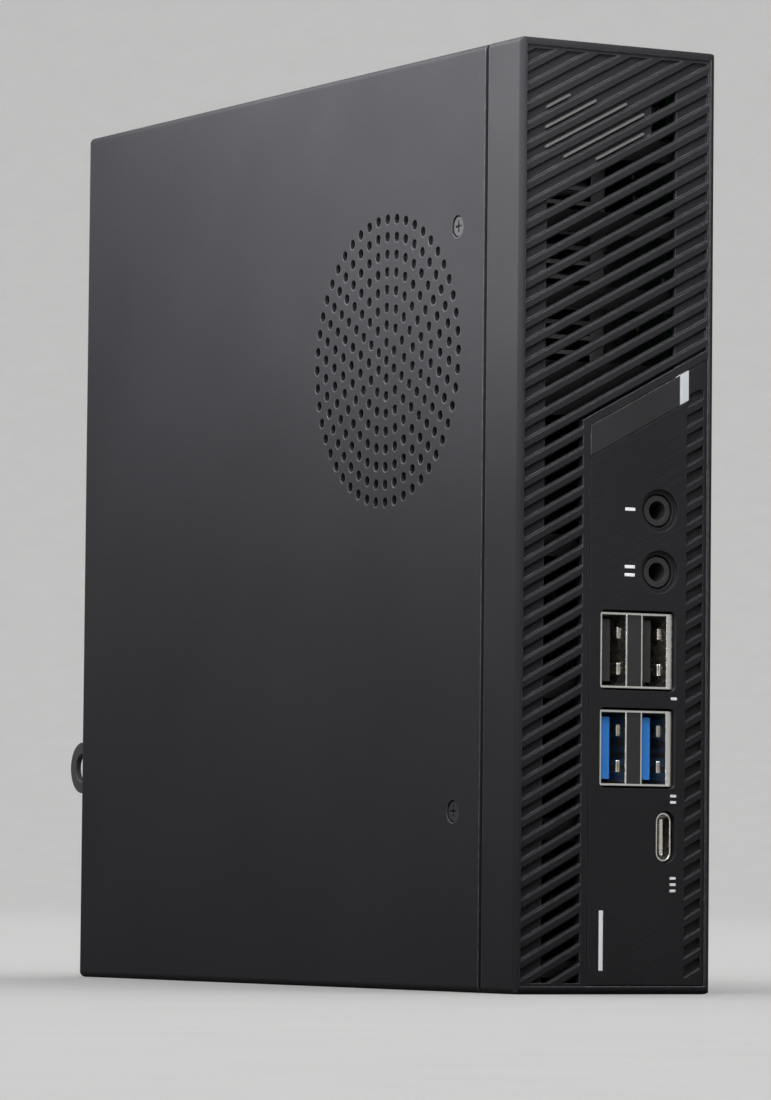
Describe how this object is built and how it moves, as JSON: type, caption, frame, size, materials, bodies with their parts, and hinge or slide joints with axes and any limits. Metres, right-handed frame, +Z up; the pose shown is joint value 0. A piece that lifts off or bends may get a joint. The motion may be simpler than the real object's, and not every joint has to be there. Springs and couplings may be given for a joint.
{
  "type": "mini pc",
  "caption": "Flat square desktop computer case on edge, with slanted front vents, front ports, a round fan grille and board, cooler and drives inside.",
  "frame": {"origin": "middle of the lower narrow side, on the surface the case stands on, halfway between port panel and rear wall and between cover and base", "axes": "+X out of the base plate, -Y out of the port panel, +Z up as the case stands"},
  "size_m": [0.0433, 0.1844, 0.175],
  "materials": {
    "cover_paint": "satin powder coat, fine texture",
    "pan_paint": "satin powder coat",
    "bezel_plastic": "fine moulded grain",
    "plate_plastic": "fine moulded grain",
    "button_plastic": "satin",
    "light_guide": "clear diffusing, lit from behind",
    "zinc_steel": "zinc plated",
    "nickel_steel": "bright nickel",
    "screw_steel": "machined",
    "foot_rubber": "matte",
    "insert_brass": "turned",
    "board_laminate": "solder mask over glass laminate",
    "black_plastic": "moulded",
    "heat_spreader": "nickel plated copper",
    "fin_aluminium": "extruded",
    "blue_plastic": "moulded",
    "antenna_foil": "thin foil",
    "cable_jacket": "smooth",
    "ferrite": "sintered",
    "can_aluminium": "drawn",
    "white_plastic": "moulded"
  },
  "bodies": {
    "case": {"top_cover": "cover_paint", "base_pan": "pan_paint", "rear_wall": "pan_paint", "io_shield": "pan_paint", "padlock_loop": "pan_paint", "front_bezel": "bezel_plastic", "port_plate": "plate_plastic", "button_light": "light_guide", "rib_light_strips": "light_guide", "front_shield": "pan_paint", "cover_screws": "screw_steel", "rubber_feet": "foot_rubber", "vesa_inserts": "insert_brass", "motherboard": "board_laminate", "board_standoffs": "zinc_steel", "board_screws": "screw_steel", "cpu_socket": "black_plastic", "cpu": "heat_spreader", "socket_frame": "nickel_steel", "cooler_backplate": "zinc_steel", "heatsink": "fin_aluminium", "cooler_screws": "screw_steel", "fan_frame": "black_plastic", "fan_screws": "screw_steel", "fan_cable": "cable_jacket", "memory_sockets": "black_plastic", "memory_modules": "board_laminate", "m2_sockets": "black_plastic", "solid_state_drive": "board_laminate", "m2_screws": "screw_steel", "wifi_card": "board_laminate", "wifi_antennas": "antenna_foil", "antenna_cables": "cable_jacket", "chipset_heatsink": "fin_aluminium", "coin_battery": "nickel_steel", "battery_holder": "black_plastic", "inductors": "ferrite", "capacitors": "can_aluminium", "power_switch": "nickel_steel", "audio_jacks": "black_plastic", "front_usb_shells": "nickel_steel", "usb2_insulators": "black_plastic", "usb3_insulators": "blue_plastic", "usb_c_port": "nickel_steel", "dc_jack": "black_plastic", "hdmi_port": "nickel_steel", "displayport": "nickel_steel", "lan_port": "nickel_steel", "rear_usb_shells": "nickel_steel", "rear_usb_insulators": "blue_plastic", "option_cover": "pan_paint", "drive_tray": "zinc_steel", "storage_drive": "fin_aluminium"},
    "fan": {"fan_rotor": "black_plastic"},
    "button": {"power_button": "button_plastic", "switch_plunger": "white_plastic"},
    "latch_1": {"memory_latch_1": "nickel_steel"},
    "latch_2": {"memory_latch_2": "nickel_steel"},
    "latch_3": {"memory_latch_3": "nickel_steel"},
    "latch_4": {"memory_latch_4": "nickel_steel"}
  },
  "joints": [
    {"name": "fan_spin", "type": "hinge", "parent": "case", "child": "fan", "pos_m": [-0.0126, -0.0383, 0.1189], "axis": [1, 0, 0], "continuous": true},
    {"name": "power_button_press", "type": "slide", "parent": "case", "child": "button", "axis": [0, 1, 0], "range_m": [0, 0.0005], "stiffness_N_per_m": 1500, "springref_m": -0.0005},
    {"name": "memory_latch_1_open", "type": "hinge", "parent": "case", "child": "latch_1", "pos_m": [0.0103, -0.049, 0.0769], "axis": [1, 0, 0], "range_deg": [0, 6], "stiffness_Nm_per_rad": 0.1, "springref_deg": -2.86},
    {"name": "memory_latch_2_open", "type": "hinge", "parent": "case", "child": "latch_2", "pos_m": [0.0103, -0.049, 0.0055], "axis": [-1, 0, 0], "range_deg": [0, 6], "stiffness_Nm_per_rad": 0.1, "springref_deg": -2.86},
    {"name": "memory_latch_3_open", "type": "hinge", "parent": "case", "child": "latch_3", "pos_m": [0.0103, -0.012, 0.0769], "axis": [1, 0, 0], "range_deg": [0, 6], "stiffness_Nm_per_rad": 0.1, "springref_deg": -2.86},
    {"name": "memory_latch_4_open", "type": "hinge", "parent": "case", "child": "latch_4", "pos_m": [0.0103, -0.012, 0.0055], "axis": [-1, 0, 0], "range_deg": [0, 6], "stiffness_Nm_per_rad": 0.1, "springref_deg": -2.86}
  ]
}
